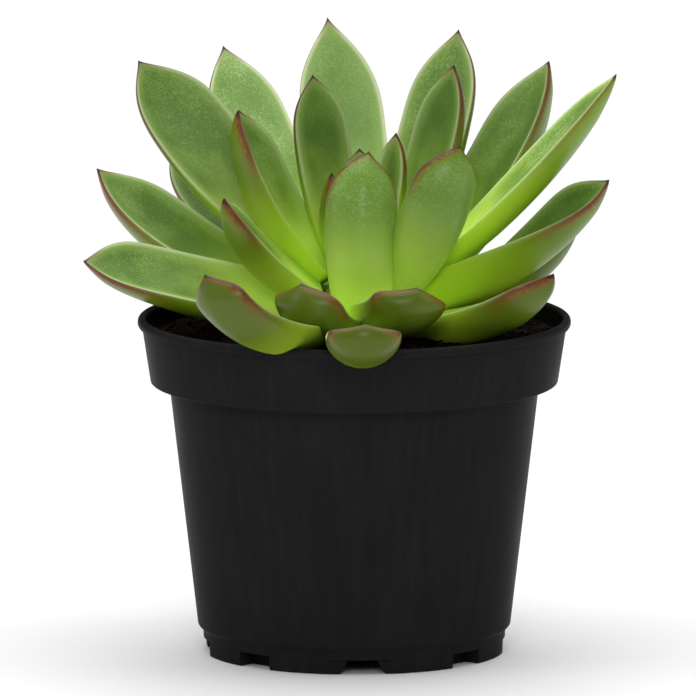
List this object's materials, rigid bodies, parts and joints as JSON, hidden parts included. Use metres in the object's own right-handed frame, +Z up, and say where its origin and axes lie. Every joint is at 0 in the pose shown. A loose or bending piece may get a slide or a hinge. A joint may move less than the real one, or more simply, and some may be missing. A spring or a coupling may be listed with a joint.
{
  "type": "potted succulent",
  "caption": "Rosette succulent with thick pointed green leaves and dark tips, rooted in dark soil in a round tapered plant pot.",
  "frame": {"origin": "centre of the overall box, at the bottom of the pot's foot ring", "axes": "+Z up along the pot's axis, -Y towards the front of the plant, X to its right"},
  "size_m": [0.147, 0.1711, 0.1666],
  "materials": {
    "pot_plastic": "black, injection moulded, with a low sheen",
    "soil": null,
    "stem": null,
    "outer_leaf": null,
    "inner_leaf": null
  },
  "bodies": {
    "root": {"pot": "pot_plastic", "soil": "soil", "stem": "stem", "leaf_left_low": "outer_leaf", "leaf_left_mid": "outer_leaf", "leaf_left_high": "outer_leaf", "leaf_left_behind": "outer_leaf", "leaf_back_left": "outer_leaf", "leaf_back_mid": "outer_leaf", "leaf_back_right": "outer_leaf", "leaf_right_behind": "outer_leaf", "leaf_right_high": "outer_leaf", "leaf_right_mid": "outer_leaf", "leaf_right_under": "outer_leaf", "leaf_right_low": "outer_leaf", "leaf_front_right": "outer_leaf", "leaf_front_low": "outer_leaf", "leaf_front_left": "outer_leaf", "leaf_left_front": "outer_leaf", "inner_leaf_left_low": "inner_leaf", "inner_leaf_left": "inner_leaf", "inner_leaf_back_left": "inner_leaf", "inner_leaf_back_right": "inner_leaf", "inner_leaf_front": "inner_leaf", "inner_leaf_right": "inner_leaf", "bud_leaf_right": "inner_leaf", "bud_leaf_left": "inner_leaf", "bud_leaf_mid": "inner_leaf", "low_leaf_1": "outer_leaf", "low_leaf_2": "outer_leaf", "low_leaf_3": "outer_leaf", "low_leaf_4": "outer_leaf", "low_leaf_5": "outer_leaf", "rear_leaf_1": "outer_leaf", "rear_leaf_2": "outer_leaf", "rear_leaf_3": "outer_leaf"}
  },
  "joints": []
}
